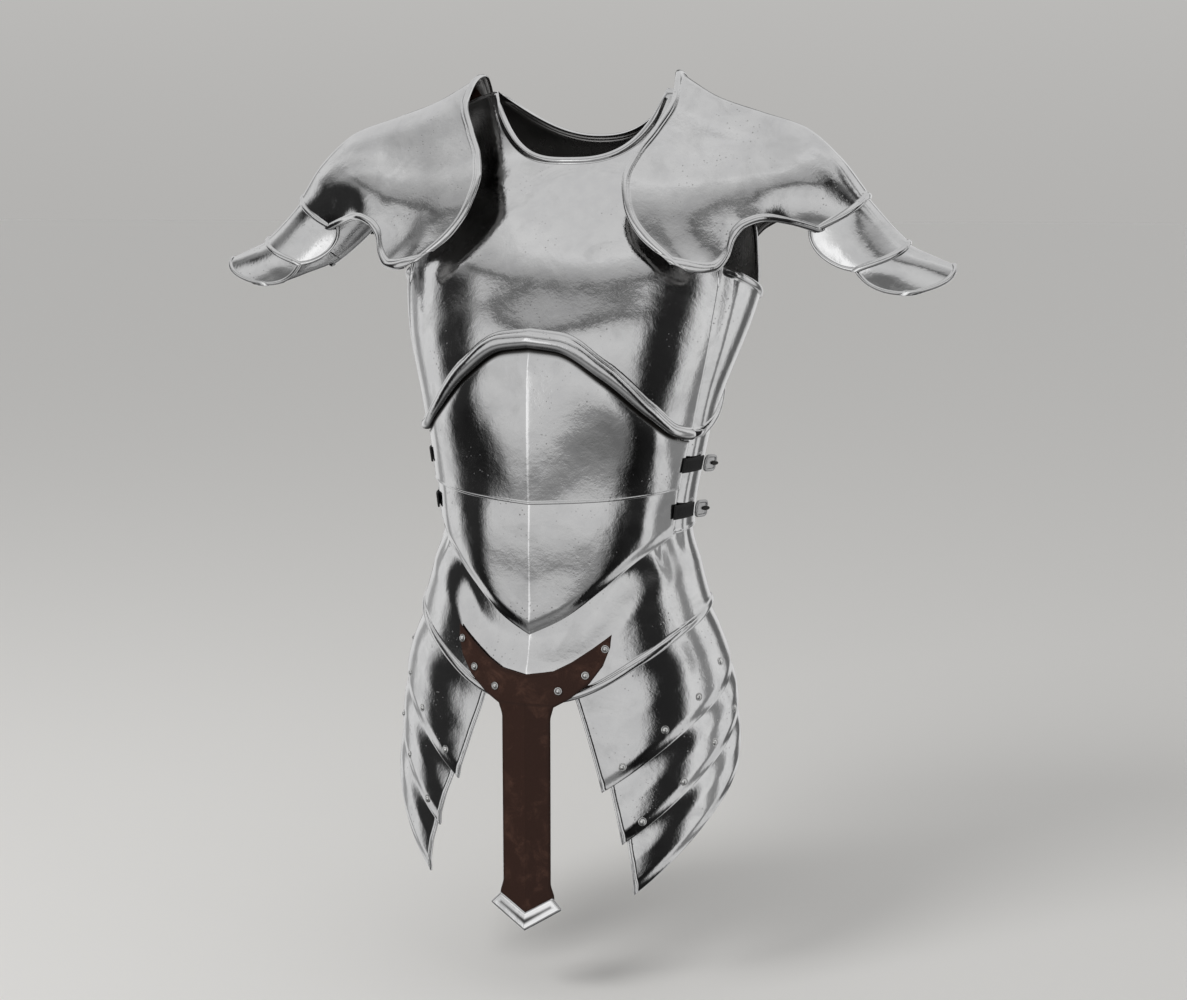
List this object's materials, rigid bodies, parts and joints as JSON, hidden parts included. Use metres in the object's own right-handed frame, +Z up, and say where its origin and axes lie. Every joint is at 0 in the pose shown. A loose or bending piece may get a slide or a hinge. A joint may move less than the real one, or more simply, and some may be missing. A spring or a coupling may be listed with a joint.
{
  "type": "plate cuirass with pauldrons and tassets",
  "caption": "Polished steel torso harness with breast and back plates, flared skirt, riveted tassets, shoulder guards and a hanging leather strap; worn on the shoulders to guard the trunk.",
  "frame": {"origin": "middle of the shoulder line, between the two neck corners, where the harness rests on its wearer", "axes": "+Z up, -Y to the front of the harness, +X to the wearer's left"},
  "size_m": [0.8722, 0.3183, 0.9463],
  "materials": {
    "steel": "polished plate with fine wear marks",
    "rivet": "bright round heads",
    "buckle": "satin cast frame",
    "leather": "dark brown, scuffed",
    "black": "black strap leather"
  },
  "bodies": {
    "root": {"breastplate": "steel", "backplate_upper": "steel", "belly_plate_upper": "steel", "belly_plate_lower": "steel", "backplate_lower": "steel", "fauld": "steel", "culet": "steel", "tasset_lame_1_left": "steel", "tasset_lame_1_right": "steel", "tasset_lame_2_left": "steel", "tasset_lame_2_right": "steel", "tasset_lame_3_left": "steel", "tasset_lame_3_right": "steel", "tasset_rivet_1_left": "rivet", "tasset_rivet_1_right": "rivet", "tasset_rivet_2_left": "rivet", "tasset_rivet_2_right": "rivet", "tasset_rivet_3_left": "rivet", "tasset_rivet_3_right": "rivet", "tasset_rivet_4_left": "rivet", "tasset_rivet_4_right": "rivet", "tasset_rivet_5_left": "rivet", "tasset_rivet_5_right": "rivet", "tasset_rivet_6_left": "rivet", "tasset_rivet_6_right": "rivet", "tasset_rivet_7_left": "rivet", "tasset_rivet_7_right": "rivet", "tasset_rivet_8_left": "rivet", "tasset_rivet_8_right": "rivet", "leather_yoke": "leather", "yoke_rivet_1_left": "rivet", "yoke_rivet_1_right": "rivet", "yoke_rivet_2_left": "rivet", "yoke_rivet_2_right": "rivet", "yoke_rivet_3_left": "rivet", "yoke_rivet_3_right": "rivet", "leather_strap": "leather", "strap_tip": "steel", "side_strap_upper_left": "black", "side_strap_upper_right": "black", "side_strap_lower_left": "black", "side_strap_lower_right": "black", "side_buckle_upper_left": "buckle", "side_buckle_upper_right": "buckle", "side_buckle_lower_left": "buckle", "side_buckle_lower_right": "buckle", "pauldron_cap_left": "steel", "pauldron_cap_right": "steel", "pauldron_lame_upper_left": "steel", "pauldron_lame_upper_right": "steel", "pauldron_lame_lower_left": "steel", "pauldron_lame_lower_right": "steel", "shoulder_pad_left": "leather", "shoulder_pad_right": "leather"}
  },
  "joints": []
}
